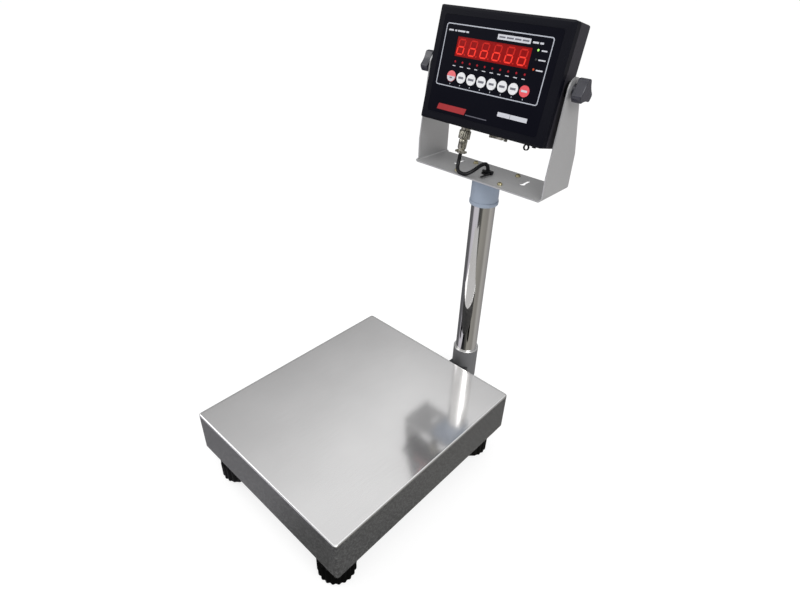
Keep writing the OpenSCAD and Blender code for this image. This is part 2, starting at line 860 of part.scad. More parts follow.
module housing_gasket() {
    c = 3;
    color("black") at_head() difference() {
        prism_y(-seam, -seam + gasket_h) polygon(round_rect(head_w - 1.6, head_h - 1.6, c, 4));
        prism_y(-seam - 1, -seam + 2)
            polygon(round_rect(head_w - 2 * wall, head_h - 2 * wall, c - 1, 4));
    }
}

module display_window() {
    y0 = -head_front + overlay_t;
    color("red", 0.8) at_head()
        block(window_x - window_w / 2 - 1, window_x + window_w / 2 + 1, y0, y0 + window_t,
            window_z - window_h / 2 - 1, window_z + window_h / 2 + 1);
}

module keypad_overlay() {
    face = -head_front;
    color("#10121c") at_head() difference() {
        prism_y(face, face + overlay_t) polygon(round_rect(overlay_w, overlay_h, overlay_r));
        block(window_x - window_w / 2, window_x + window_w / 2, face - 1, face + 2,
            window_z - window_h / 2, window_z + window_h / 2);
        at_keys() rod_y(key_d + 2 * free_gap, face - 1, face + 2);
        at_leds() rod_y(led_d + 0.2, face - 1, face + 2);
    }
}

module led_digits() {
    digits = 6;
    pitch = window_w / digits;
    y0 = -head_front + overlay_t + window_t + 0.2;
    color("darkred") at_head() for (i = [0:digits - 1])
        block(window_x + (i - digits / 2) * pitch + 0.3, window_x + (i + 1 - digits / 2) * pitch - 0.3,
            y0, board_y, window_z - window_h / 2, window_z + window_h / 2);
}

module status_leds() {
    color("red") at_head() at_leds() rod_y(led_d, -head_front + 0.1, board_y);
}

module main_board() {
    color("darkgreen") at_head() {
        difference() {
            block(-board_w / 2, board_w / 2, board_y, board_y + board_t, -board_h / 2, board_h / 2);
            at_corners(post_x, post_z) rod_y(3.2, board_y - 1, board_y + 3);
        }
        block(-60, -45, board_y + board_t, board_y + board_t + 3, 10, 25);
        block(-20, 0, board_y + board_t, board_y + board_t + 2.5, 5, 25);
        block(30, 55, board_y + board_t, board_y + board_t + 6, 20, 40);
        for (x = [10, 22]) translate([x, 0, 35]) rod_y(8, board_y + board_t, board_y + board_t + 10);
    }
}

module battery() {
    color("royalblue") at_head()
        block(-battery_w / 2, battery_w / 2, head_back - wall - battery_t, head_back - wall,
            battery_z0, battery_z1);
}

module case_screws() {
    back = head_back;
    color("silver") at_head() {
        at_corners(boss_x, boss_z) {
            rod_y(3 - 0.02, -head_front + 6, back - 3);
            rod_y(6.4, back - 3, back - 0.8);
        }
        at_corners(post_x, post_z) {
            rod_y(2.5 - 0.02, -head_front + 5, board_y + board_t);
            rod_y(5, board_y + board_t, board_y + board_t + 2);
        }
    }
}

foot_z = -head_h / 2;

module receptacle() {
    color("silver") at_head() translate([plug_x, plug_y, foot_z]) difference() {
        union() {
            rod(14, -11.5, 10);
            rod(19, -2, 0);
            translate([0, 0, wall]) hex(18, 3);
        }
        rod(11, -12, -4);
    }
}

module plug_nut() {
    color("silver") at_head() translate([plug_x, plug_y, foot_z]) difference() {
        rod(17.5, -17.5, -6);
        rod(14 + 2 * run_fit, -11.8, -5);
        rod(11 + 2 * run_fit, -19, -11);
        for (i = [0:17]) rotate(20 * i) translate([9.4, 0, -14.5]) cylinder(h = 10, r = 1.1);
    }
}

module plug_shell() {
    color("silver") at_head() translate([plug_x, plug_y, foot_z]) {
        rod(10.9, -17.8, -5);
        translate([0, 0, -20]) cylinder(h = 2.2, r1 = 6.4, r2 = 5.6);
        rod(12.8, 5.5 - plug_l + 2.5, -20);
        translate([0, 0, 5.5 - plug_l]) cylinder(h = 2.5, r1 = 4.8, r2 = 6.4);
    }
}

module plug_clamp() {
    color("silver") at_head() translate([plug_x, plug_y, foot_z]) {
        difference() {
            union() {
                rod(10.5, -plug_l, 5.5 - plug_l);
                block(-7.5, 7.5, -2.2, 2.2, 0.5 - plug_l, 4.5 - plug_l);
            }
            rod(cable_d, -plug_l - 1, 0.1 - plug_l);
        }
        for (s = [-1, 1]) translate([6 * s, 0, 2.5 - plug_l]) rod_y(3.4, -5, 5);
    }
}

module serial_port() {
    color("silver") at_head() translate([port_x, port_y, foot_z]) {
        difference() {
            union() {
                block(-15.4, 15.4, -6.2, 6.2, -1, 0);
                prism_port(16, 8.4, -5.5, -1);
                prism_port(18, 9, 0, 6);
            }
            prism_port(14.6, 7, -6, -2);
        }
        prism_port(13.8, 6.2, -4.7, -2);
        for (s = [-1, 1]) translate([s * 12.5, 0, -6]) hex(5, 5);
    }
}

module prism_port(w, d, z0, z1) {
    plate_z(z0, z1) polygon([
        [-w / 2, -d / 2], [w / 2, -d / 2], [w / 2 - 1.2, d / 2], [-w / 2 + 1.2, d / 2]
    ]);
}

// Strap clip under the housing, with its screw beside the loop
module cord_clip() {
    color("black") at_head() translate([clip_x, clip_y, foot_z]) {
        difference() {
            union() {
                block(0, clip_l, -2.5, 2.5, -clip_t, 0);
                translate([0, 0, -clip_loop_z]) rod_y(2 * clip_loop_r, -1.5, 1.5);
            }
            translate([0, 0, -clip_loop_z]) rod_y(2 * (clip_loop_r - clip_t), -3, 3);
        }
        translate([clip_screw_x, 0, 0]) {
            rod(5.6, -clip_t - 1.6, -clip_t);
            rod(3 - 0.02, -clip_t - 0.1, 6);
        }
    }
}

module pivot_bushes() {
    color("black") at_head() for (s = [-1, 1]) mirror([s < 0 ? 1 : 0, 0, 0]) difference() {
        rod_x(2 * bush_r, head_w / 2, leg_in - free_gap);
        rod_x(stud_d + 2 * run_fit, head_w / 2 - 1, leg_in + 1);
    }
}

// ---------------------------------------------------------------- clamp knobs

// Knob on the right side, with its axis along X
module knob_shape() {
    x0 = leg_out + free_gap;
    x1 = x0 + knob_l;
    difference() {
        union() {
            rod_x(2 * knob_hub_r, x0, x0 + knob_hub_h + 1);
            difference() {
                union() {
                    rod_x(2 * knob_r, x0 + knob_hub_h, x1 - 1);
                    translate([x1 - 1, 0, 0]) rotate([0, 90, 0])
                        cylinder(h = 1, r1 = knob_r, r2 = knob_r - 1);
                }
                for (i = [0:knob_lobes - 1]) rotate([knob_turn + 360 * (i + 0.5) / knob_lobes, 0, 0])
                    translate([0, 0, knob_root_r + knob_flute_r])
                        rod_x(2 * knob_flute_r, x0 + knob_hub_h - 1, x1 + 1);
            }
        }
        rod_x(stud_d + 2 * run_fit, x0 - 1, x0 + knob_bore_l);
    }
}

module stud_shape() {
    rod_x(stud_d, head_w / 2 - boss_l + 2, leg_out + knob_bore_l);
}

module clamp_knob_right() { color("#202124") at_head() knob_shape(); }
module clamp_knob_left() { color("#202124") at_head() mirror([1, 0, 0]) knob_shape(); }
module clamp_stud_right() { color("silver") at_head() stud_shape(); }
module clamp_stud_left() { color("silver") at_head() mirror([1, 0, 0]) stud_shape(); }

// ---------------------------------------------------------------- keys

module key(i, c) {
    face = -head_front;
    inner = face + wall + overlay_t + free_gap;
    flange_d = min(key_pitch - 0.9, key_d + 2);
    color(c) at_head() translate([key_x0 + (i - 3.5) * key_pitch, 0, key_z]) {
        rod_y(key_d, face - 0.8, inner);
        rod_y(flange_d, inner, inner + 0.8);
        rod_y(6, inner + 0.8, board_y - key_travel - free_gap);
    }
}

module key_1() { key(0, "salmon"); }
module key_2() { key(1, "white"); }
module key_3() { key(2, "white"); }
module key_4() { key(3, "white"); }
module key_5() { key(4, "white"); }
module key_6() { key(5, "white"); }
module key_7() { key(6, "white"); }
module key_8() { key(7, "red"); }

base_frame();
foot_lock_nuts();
cell_spacer();
load_cell();
cell_bolts_lower();
overload_stops();
bubble_level();
column_arm();
column_fasteners();
column_socket();
collar_ring();
column_plug();
column_tube();
top_cap();
head_bracket();
bracket_screws();
cable_grommet();
cable_tie();
loadcell_cable();
load_frame();
cell_bolts_upper();
platter_pads();
platter();
foot_stud_fl();
foot_stud_fr();
foot_stud_rl();
foot_stud_rr();
foot_knob_fl();
foot_knob_fr();
foot_knob_rl();
foot_knob_rr();
front_housing();
rear_housing();
housing_gasket();
display_window();
keypad_overlay();
led_digits();
status_leds();
main_board();
battery();
case_screws();
receptacle();
serial_port();
cord_clip();
pivot_bushes();
plug_shell();
plug_clamp();
plug_nut();
clamp_knob_left();
clamp_knob_right();
clamp_stud_left();
clamp_stud_right();
key_1();
key_2();
key_3();
key_4();
key_5();
key_6();
key_7();
key_8();
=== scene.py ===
"""Bench scale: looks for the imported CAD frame. Metres, same frame as the CAD."""

import bpy
import bmesh
import math
from mathutils import Matrix, Vector


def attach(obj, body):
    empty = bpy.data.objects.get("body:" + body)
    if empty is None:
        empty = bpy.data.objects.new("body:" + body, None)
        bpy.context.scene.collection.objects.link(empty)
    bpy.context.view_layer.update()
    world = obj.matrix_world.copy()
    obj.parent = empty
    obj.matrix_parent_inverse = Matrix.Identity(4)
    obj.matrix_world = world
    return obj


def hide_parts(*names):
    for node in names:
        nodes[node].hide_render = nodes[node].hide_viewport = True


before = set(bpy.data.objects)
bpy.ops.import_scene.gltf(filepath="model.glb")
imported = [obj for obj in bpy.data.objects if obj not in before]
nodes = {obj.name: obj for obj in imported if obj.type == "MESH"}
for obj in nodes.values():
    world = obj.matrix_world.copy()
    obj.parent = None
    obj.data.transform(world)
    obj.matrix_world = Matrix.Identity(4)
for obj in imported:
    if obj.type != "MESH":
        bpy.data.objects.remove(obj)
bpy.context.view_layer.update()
scene = bpy.context.scene

# ------------------------------------------------------------------ layout
MM = 0.001
TILT = math.radians(13)             # the indicator leans back at rest
PIVOT = Vector((0.0, 0.205, 0.5495))
HEAD = Matrix.Translation(PIVOT) @ Matrix.Rotation(-TILT, 4, "X")
FACE_Y = -0.026                     # front of the face film, in the head's own frame
COLUMN = Vector((0.0, 0.205, 0.0))
PLAT_Y = -0.069                     # middle of the weighing platter
PLAT_TOP = 0.120
FOOT_X = 0.1135                     # feet, to each side of the platter's middle
FOOT_Y = 0.147
FEET = {"fl": (-1, -1), "fr": (1, -1), "rl": (-1, 1), "rr": (1, 1)}

# ------------------------------------------------------------------ camera
CAMERA_PLACE = Vector((0.4346, -0.4672, 0.7014))
CAMERA_HEADING = math.radians(-41.9)
CAMERA_DIP = math.radians(33.73)
CAMERA_ROLL = math.radians(2.04)
SENSOR_MM = 36.0
FOCAL_MM = 24.319


def put_camera():
    """Aims by heading and dip, then rolls the level right and up directions."""
    data = bpy.data.cameras.new("view_camera")
    data.sensor_fit = "HORIZONTAL"
    data.sensor_width = SENSOR_MM
    data.lens = FOCAL_MM
    data.clip_start = 0.01
    data.clip_end = 100
    cam = bpy.data.objects.new("view_camera", data)
    scene.collection.objects.link(cam)
    az, el, roll = CAMERA_HEADING, CAMERA_DIP, CAMERA_ROLL
    look = Vector((math.sin(az) * math.cos(el), math.cos(az) * math.cos(el), -math.sin(el)))
    level_right = Vector((math.cos(az), -math.sin(az), 0.0))
    level_up = level_right.cross(look)
    right = level_right * math.cos(roll) + level_up * math.sin(roll)
    up = level_up * math.cos(roll) - level_right * math.sin(roll)
    m = Matrix.Identity(4)
    for i in range(3):
        m[i][0], m[i][1], m[i][2] = right[i], up[i], -look[i]
    m.translation = CAMERA_PLACE
    cam.matrix_world = m
    scene.camera = cam


put_camera()


# ------------------------------------------------------------------ shader nodes
def tree_node(tree, kind, **attrs):
    n = tree.nodes.new(kind)
    for key, value in attrs.items():
        setattr(n, key, value)
    return n


def tree_ramp(tree, fac, stops):
    """Colour ramp over stops (place, grey or colour)."""
    r = tree_node(tree, "ShaderNodeValToRGB")
    elements = r.color_ramp.elements
    while len(elements) < len(stops):
        elements.new(0.5)
    for e, (at, value) in zip(elements, stops):
        if isinstance(value, (int, float)):
            value = (value, value, value)
        e.position = at
        e.color = (*value, 1.0)
    tree.links.new(fac, r.inputs["Fac"])
    return r.outputs["Color"]


def tree_math(tree, operation, a, b=0.0):
    n = tree_node(tree, "ShaderNodeMath", operation=operation)
    for sock, value in ((n.inputs[0], a), (n.inputs[1], b)):
        if isinstance(value, bpy.types.NodeSocket):
            tree.links.new(value, sock)
        else:
            sock.default_value = value
    return n.outputs[0]


def tree_mix(tree, fac, a, b, blend="MIX"):
    n = tree_node(tree, "ShaderNodeMix", data_type="RGBA", blend_type=blend)
    for sock, value in ((n.inputs[0], fac), (n.inputs[6], a), (n.inputs[7], b)):
        if isinstance(value, bpy.types.NodeSocket):
            tree.links.new(value, sock)
        elif isinstance(value, (int, float)):
            sock.default_value = value
        else:
            sock.default_value = (*value, 1.0)
    return n.outputs[2]


# ------------------------------------------------------------------ materials
class Shader:
    """A principled material that is put together from small node groups."""

    def __init__(self, name, rough=0.5, metallic=0.0, **inputs):
        self.mat = bpy.data.materials.new(name)
        self.mat.use_nodes = True
        self.tree = self.mat.node_tree
        self.bsdf = self.tree.nodes["Principled BSDF"]
        self.bsdf.inputs["Roughness"].default_value = rough
        self.bsdf.inputs["Metallic"].default_value = metallic
        for key, value in inputs.items():
            self.bsdf.inputs[key.replace("_", " ")].default_value = value
        self.coord = self.node("ShaderNodeTexCoord")
        self.height = None

    def node(self, kind, **attrs):
        return tree_node(self.tree, kind, **attrs)

    def link(self, a, b):
        self.tree.links.new(a, b)

    def noise(self, scale, detail=3.0, stretch=(1, 1, 1), distortion=0.0):
        mapping = self.node("ShaderNodeMapping")
        mapping.inputs["Scale"].default_value = stretch
        self.link(self.coord.outputs["Object"], mapping.inputs["Vector"])
        n = self.node("ShaderNodeTexNoise")
        n.inputs["Scale"].default_value = scale
        n.inputs["Detail"].default_value = detail
        n.inputs["Distortion"].default_value = distortion
        self.link(mapping.outputs["Vector"], n.inputs["Vector"])
        return n.outputs["Fac"]

    def ramp(self, fac, stops):
        return tree_ramp(self.tree, fac, stops)

    def mix(self, fac, a, b, blend="MIX"):
        return tree_mix(self.tree, fac, a, b, blend)

    def color(self, source):
        self.link(source, self.bsdf.inputs["Base Color"])

    def roughness(self, source):
        self.link(source, self.bsdf.inputs["Roughness"])

    def bump(self, source, distance, strength=1.0):
        b = self.node("ShaderNodeBump")
        b.inputs["Distance"].default_value = distance
        b.inputs["Strength"].default_value = strength
        self.link(source, b.inputs["Height"])
        if self.height is not None:
            self.link(self.height, b.inputs["Normal"])
        self.height = b.outputs["Normal"]
        self.link(self.height, self.bsdf.inputs["Normal"])


def shade(c, k):
    """The colour c, k times as bright."""
    return tuple(min(1.0, x * k) for x in c)


def varied(s, fac, c, vary):
    """The colour c, darker to lighter by vary, as fac goes from 0.3 to 0.7."""
    return s.ramp(fac, [(0.3, shade(c, 1 - vary)), (0.7, shade(c, 1 + vary))])


def brushed(name, c, rough, stretch, scale=900, vary=0.08, metallic=1.0, bump=0.00001):
    """Metal with fine lines along the axis whose stretch is smallest. bump is in metres."""
    s = Shader(name, metallic=metallic)
    lines = s.noise(scale, 4, stretch)
    blotch = s.noise(9, 3)
    fine = varied(s, lines, c, vary)
    s.color(s.mix(0.25, fine, s.ramp(blotch, [(0.3, shade(c, 0.85)), (0.7, shade(c, 1.1))])))
    s.roughness(s.ramp(lines, [(0.3, rough * 0.85), (0.7, rough * 1.2)]))
    if bump:
        s.bump(lines, bump, 0.3)
    return s.mat


def plain_metal(name, c, rough, vary=0.1, scale=220):
    """Metal without a direction: a fine grain over slow blotches."""
    s = Shader(name, metallic=1.0)
    fine = s.noise(scale, 4)
    slow = s.noise(14, 2)
    s.color(s.mix(0.5, varied(s, fine, c, vary), varied(s, slow, c, vary)))
    s.roughness(s.ramp(fine, [(0.3, rough * 0.8), (0.7, rough * 1.25)]))
    return s.mat


def moulded(name, c, rough, grain=900, bump=0.00003, vary=0.15, coat=0.0, **inputs):
    """Plastic, rubber or paint with a fine grain and slow colour variation."""
    s = Shader(name, **inputs)
    fine = s.noise(grain, 3)
    slow = s.noise(18, 3)
    s.color(s.mix(0.6, varied(s, fine, c, vary), varied(s, slow, c, vary)))
    s.roughness(s.ramp(slow, [(0.3, rough * 0.88), (0.7, min(1, rough * 1.12))]))
    s.bump(fine, bump, 0.5)
    if coat:
        s.bsdf.inputs["Coat Weight"].default_value = coat
        s.bsdf.inputs["Coat Roughness"].default_value = 0.25
    return s.mat


def glowing(name, c, strength, rough=0.4):
    """Lit plastic: a diffuser with slightly uneven light."""
    s = Shader(name, rough=rough, Specular_IOR_Level=0.12)
    n = s.noise(420, 2)
    tone = s.ramp(n, [(0.3, shade(c, 0.9)), (0.7, c)])
    s.color(tone)
    s.link(tone, s.bsdf.inputs["Emission Color"])
    s.bsdf.inputs["Emission Strength"].default_value = strength
    return s.mat


def mottled_steel_painted_shade():
    """Steel with a fine mottle for the folded skirt, far darker than the top: painted shade, standing for
    the dark room that the skirt mirrors.
    """
    s = Shader("plate_skirt_painted_shade", metallic=0.35, Specular_IOR_Level=0.3)
    fine = s.noise(300, 3, (1, 1, 1), 0.5)
    grain = s.noise(700, 3)
    # painted shade: the skirt's steel made much darker than the platter's top
    base = s.ramp(fine, [(0.40, 0.080), (0.5, 0.108), (0.60, 0.148)])
    tone = s.ramp(grain, [(0.36, 0.76), (0.64, 1.2)])
    s.color(s.mix(1.0, base, tone, "MULTIPLY"))
    s.roughness(s.ramp(fine, [(0.3, 0.42), (0.7, 0.6)]))
    s.bump(fine, 0.00010, 0.6)
    return s.mat


# moulded: colour, roughness, grain, bump, variation
MOULDED = {
    "frame_paint": ((0.035, 0.037, 0.04), 0.42, 500, 0.00008),
    "board_green": ((0.02, 0.16, 0.06), 0.3),
    "battery_wrap": ((0.05, 0.15, 0.5), 0.3),
    "key_white": ((0.80, 0.80, 0.82), 0.35, 900, 0.00001, 0.04),
    "key_red": ((0.78, 0.09, 0.11), 0.35, 900, 0.00001, 0.05),
    "key_pink": ((0.80, 0.16, 0.18), 0.35, 900, 0.00001, 0.05),
    "print_white": ((0.60, 0.61, 0.66), 0.4, 900, 0.0, 0.05),
    "print_silver": ((0.46, 0.48, 0.54), 0.35, 900, 0.0, 0.08),
    "print_grey": ((0.12, 0.12, 0.15), 0.4, 900, 0.0, 0.1),
    "print_red": ((0.36, 0.018, 0.022), 0.4, 900, 0.0, 0.08),
    "print_dark": ((0.16, 0.16, 0.19), 0.4, 900, 0.0, 0.1),
    "led_off": ((0.03, 0.03, 0.03), 0.3),
}
# moulded again, with a specular level as the last number
MOULDED_SHINE = {
    "collar_plastic": ((0.155, 0.155, 0.16), 0.6, 900, 0.00003, 0.15, 0.25),
    "cap_plastic": ((0.325, 0.38, 0.47), 0.42, 700, 0.00002, 0.06, 0.4),
    "black_rubber": ((0.006, 0.006, 0.007), 0.6, 600, 0.00005, 0.15, 0.15),
    "black_nylon": ((0.007, 0.007, 0.009), 0.4, 900, 0.00003, 0.15, 0.3),
    "cable_jacket": ((0.006, 0.006, 0.008), 0.42, 400, 0.00003, 0.15, 0.3),
    "foot_rubber": ((0.0022, 0.0022, 0.0022), 0.5, 500, 0.00008, 0.15, 0.08),
    "front_shell": ((0.0042, 0.0044, 0.0085), 0.42, 1100, 0.00003, 0.1, 0.12),
    "rear_shell": ((0.027, 0.025, 0.033), 0.5, 1100, 0.00006, 0.1, 0.35),
    "overlay_film": ((0.0040, 0.0042, 0.0082), 0.34, 1500, 0.00001, 0.08, 0.05),
    "bush_black": ((0.005, 0.005, 0.006), 0.5, 900, 0.00003, 0.15, 0.15),
    "knob_black": ((0.022, 0.022, 0.034), 0.26, 900, 0.00002, 0.12, 0.8),
}
# plain_metal: colour, roughness, variation, grain scale
METALS = {
    "zinc_steel": ((0.62, 0.62, 0.60), 0.3),
    "ring_bright": ((0.62, 0.62, 0.62), 0.3),
    "screw_zinc": ((0.50, 0.45, 0.27), 0.38),
    "plug_metal": ((0.48, 0.46, 0.39), 0.28, 0.12, 300),
}
# brushed: colour, roughness, stretch, scale, variation, metallic, bump
BRUSHED = {
    "plate_top": ((0.68, 0.675, 0.675), 0.10, (1, 0.02, 1), 1400, 0.03, 0.8, 0.000002),
    # plate_fold: brighter than plate_top, a painted highlight along the rolled edge beside its real
    # reflection
    "plate_fold": ((0.85, 0.85, 0.85), 0.22, (1, 1, 1), 700, 0.05, 1.0, 0.0),
    "plate_under": ((0.45, 0.45, 0.45), 0.4, (1, 0.03, 1)),
    "cell_alloy": ((0.80, 0.80, 0.81), 0.33, (1, 0.05, 1)),
    "tube_steel": ((0.74, 0.73, 0.72), 0.06, (1, 1, 0.01), 1500, 0.04, 1.0, 0.000003),
    "bracket_steel": ((0.52, 0.52, 0.525), 0.36, (0.03, 1, 1), 1000, 0.07, 0.55),
}
# glowing: colour, strength, roughness
GLOWING = {
    "window_red": ((0.20, 0.004, 0.004), 0.45, 0.25),
    "digit_lit": ((0.72, 0.035, 0.022), 0.50),
    "digit_dim": ((0.42, 0.014, 0.010), 0.45),
    "led_red": ((0.30, 0.01, 0.02), 0.25),
    "led_bright": ((0.45, 0.06, 0.02), 0.3),
    "led_green": ((0.35, 0.75, 0.15), 0.7),
}

M = {"plate_skirt_painted_shade": mottled_steel_painted_shade()}
for kind, table in ((moulded, MOULDED), (plain_metal, METALS), (brushed, BRUSHED), (glowing, GLOWING)):
    for name, values in table.items():
        M[name] = kind(name, *values)
for name, (*values, shine) in MOULDED_SHINE.items():
    M[name] = moulded(name, *values, Specular_IOR_Level=shine)
M["level_vial"] = moulded("level_vial", (0.45, 0.70, 0.08), 0.15, 80, 0.0, 0.1, coat=0.6)


# ------------------------------------------------------------------ mesh helpers
SHARP = math.radians(35)


def add_mesh(name, bm, mats, body, place=None, smooth=True):
    me = bpy.data.meshes.new(name)
    bmesh.ops.recalc_face_normals(bm, faces=bm.faces)
    bm.to_mesh(me)
    bm.free()
    if place is not None:
        me.transform(place)
    for m in mats:
        me.materials.append(M[m])
    for poly in me.polygons:
        poly.use_smooth = smooth
    obj = bpy.data.objects.new(name, me)
    scene.collection.objects.link(obj)
    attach(obj, body)
    return obj


def weighted(obj):
    mod = obj.modifiers.new("normals", "WEIGHTED_NORMAL")
    mod.keep_sharp = True


def bevel(obj, width):
    """Softens the edges sharper than SHARP."""
    mod = obj.modifiers.new("edges", "BEVEL")
    mod.width = width
    mod.segments = 2
    mod.limit_method = "ANGLE"
    mod.angle_limit = SHARP
    mod.harden_normals = True


def circle(steps):
    """The angles of a full turn in equal steps."""
    return [2 * math.pi * k / steps for k in range(steps)]


def rings_to_mesh(bm, rings, close_start=True, close_end=True, mat=0):
    """Bridges rings of equal length, and closes the ends with a face."""
    made = []
    verts = [[bm.verts.new(p) for p in ring] for ring in rings]
    n = len(rings[0])
    for a, b in zip(verts, verts[1:]):
        for k in range(n):
            made.append(bm.faces.new((a[k], a[(k + 1) % n], b[(k + 1) % n], b[k])))
    if close_start:
        made.append(bm.faces.new(list(reversed(verts[0]))))
    if close_end:
        made.append(bm.faces.new(verts[-1]))
    for f in made:
        f.material_index = mat


def lathe(bm, profile, steps, radius_at=None, closed=False):
    """Turns (radius, height) points round Z. radius_at(angle, r, z) can shape the section."""
    rings = []
    for r, z in profile:
        ring = []
        for a in circle(steps):
            shaped = radius_at(a, r, z) if radius_at else r
            ring.append((shaped * math.cos(a), shaped * math.sin(a), z))
        rings.append(ring)
    if closed:
        rings.append(rings[0])
    rings_to_mesh(bm, rings, not closed, not closed)


def slab(bm, points, y0, y1, mat=0):
    """A thin plate on the indicator's face: outline points (x, z), between depths y0 and y1."""
    front = [bm.verts.new((x, y0, z)) for x, z in points]
    back = [bm.verts.new((x, y1, z)) for x, z in points]
    faces = [bm.faces.new(front), bm.faces.new(list(reversed(back)))]
    n = len(points)
    for k in range(n):
        faces.append(bm.faces.new((front[k], back[k], back[(k + 1) % n], front[(k + 1) % n])))
    for f in faces:
        f.material_index = mat


def box_points(x0, x1, z0, z1):
    return [(x0, z0), (x1, z0), (x1, z1), (x0, z1)]


def rounded(x0, x1, z0, z1, r, n=6):
    """A rectangle's outline with corners of radius r, each in n steps."""
    corners = ((x1 - r, z1 - r, 0), (x0 + r, z1 - r, 90), (x0 + r, z0 + r, 180), (x1 - r, z0 + r, 270))
    pts = []
    for cx, cz, a0 in corners:
        for i in range(n + 1):
            a = math.radians(a0 + 90 * i / n)
            pts.append((cx + r * math.cos(a), cz + r * math.sin(a)))
    return pts


def disc(cx, cz, r, steps):
    return [(cx + r * math.cos(a), cz + r * math.sin(a)) for a in circle(steps)]


def frame_strip(bm, outer, inner, y0, y1):
    """A flat band between two outlines with the same number of points."""
    n = len(outer)
    loops = [[bm.verts.new((x, y, z)) for x, z in pts] for pts, y in
             ((outer, y0), (inner, y0), (inner, y1), (outer, y1))]
    for a, b in ((0, 1), (1, 2), (2, 3), (3, 0)):
        for k in range(n):
            bm.faces.new((loops[a][k], loops[a][(k + 1) % n], loops[b][(k + 1) % n], loops[b][k]))


# ------------------------------------------------------------------ cable
def cable():
    """From the load cell through the arm and up the column, then in a loop to the plug."""
    thick, sides, step = 0.0056, 20, 0.003
    # the route's heights and depths, in mm
    cell_z, arm_z, bracket_z = 79.0, 37.0, 408.0
    cell_y, col_y = -4.0, 205.0
    plug = Matrix.Rotation(-TILT, 3, "X") @ Vector((-36, 2, -114.5)) + PIVOT / MM
    pts = [
        (0, cell_y, cell_z), (0, cell_y + 12, cell_z), (0, cell_y + 26, cell_z - 6), (0, cell_y + 35, 54),
        (0, cell_y + 37, 50), (0, cell_y + 39, arm_z + 6), (0, cell_y + 48, arm_z), (0, cell_y + 70, arm_z),
        (0, col_y - 50, arm_z), (0, col_y - 24, arm_z + 1), (0, col_y - 10, arm_z + 4),
        (0, col_y - 2, arm_z + 14), (0, col_y, arm_z + 30), (0, col_y, arm_z + 60),
        (0, col_y, bracket_z - 60), (0, col_y, bracket_z - 20), (0, col_y, bracket_z),
        (0, col_y, bracket_z + 10), (-2, col_y - 3, bracket_z + 16.5), (-6, col_y - 10, bracket_z + 15.5),
        (-10, col_y - 25, bracket_z + 9), (-15, col_y - 34, bracket_z + 5.5),
        (-21, col_y - 37, bracket_z + 5.5), (-28, col_y - 36, bracket_z + 7),
        (-34, col_y - 31, bracket_z + 11), (plug.x, plug.y - 2.7, plug.z - 11.5), tuple(plug),
    ]
    pts = [Vector(p) * MM for p in pts]
    # a smooth curve that passes through every point
    path = []
    for i in range(len(pts) - 1):
        p0, p1 = pts[max(i - 1, 0)], pts[i]
        p2, p3 = pts[i + 1], pts[min(i + 2, len(pts) - 1)]
        steps = max(2, round((p2 - p1).length / step))
        for j in range(steps):
            t = j / steps
            path.append(0.5 * (2 * p1 + (p2 - p0) * t + (2 * p0 - 5 * p1 + 4 * p2 - p3) * t * t
                               + (3 * p1 - p0 - 3 * p2 + p3) * t ** 3))
    path.append(pts[-1])
    # rings square to the path, each turned as little as possible from the last
    bm = bmesh.new()
    rings = []
    side = Vector((1, 0, 0))
    for i, p in enumerate(path):
        t = (path[min(i + 1, len(path) - 1)] - path[max(i - 1, 0)]).normalized()
        side = (side - side.dot(t) * t).normalized()
        other = t.cross(side)
        rings.append([p + thick / 2 * (math.cos(a) * side + math.sin(a) * other) for a in circle(sides)])
    rings_to_mesh(bm, rings)
    obj = add_mesh("cable_tube", bm, ["cable_jacket"], "base")
    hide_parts("loadcell_cable")


cable()


# ------------------------------------------------------------------ weighing platter
def platter():
    """Folded steel sheet: flat top, rolled edges, welded corners and a skirt, open below."""
    w, d, drop = 0.300, 0.354, 0.066
    t, fold, corner = 0.0015, 0.0023, 0.0045        # sheet, radius of the fold, radius in plan
    lip = 0.0004                                    # rounding of the skirt's lower edge
    bm = bmesh.new()

    def outline(inset, z):
        r = max(corner - inset * 0.6, 0.0008)
        pts = rounded(-w / 2 + inset, w / 2 - inset, -d / 2 + inset, d / 2 - inset, r, 8)
        return [(x, y, z) for x, y in pts]

    skirt = [outline(0, -drop + lip), outline(0, -drop * 0.5), outline(0, -fold)]
    roll = [outline(fold * (1 - math.cos(a)), -fold * (1 - math.sin(a)))
            for a in (math.radians(x) for x in (0, 15, 30, 45, 60, 75, 90))]
    top = [outline(fold, 0), outline(fold + 0.004, 0)]
    inner = [outline(t, -drop + lip), outline(t, -t - 0.001), outline(t + 0.001, -t)]
    edge = [outline(0, -drop + lip), outline(t * 0.3, -drop), outline(t * 0.7, -drop),
            outline(t, -drop + lip)]
    # the skirt and its lower edge take the darker steel, which is painted shade
    rings_to_mesh(bm, skirt, False, False, 2)
    # the rolled fold takes the brighter steel, which is a painted highlight
    rings_to_mesh(bm, roll, False, False, 1)
    rings_to_mesh(bm, top, False, True, 0)
    rings_to_mesh(bm, inner, False, True, 3)
    rings_to_mesh(bm, edge, False, False, 2)
    bmesh.ops.remove_doubles(bm, verts=bm.verts, dist=1e-6)
    obj = add_mesh("platter_shell", bm, ["plate_top", "plate_fold", "plate_skirt_painted_shade", "plate_under"],
                   "platter", Matrix.Translation((0, PLAT_Y, PLAT_TOP)))
    weighted(obj)
    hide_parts("platter")


platter()


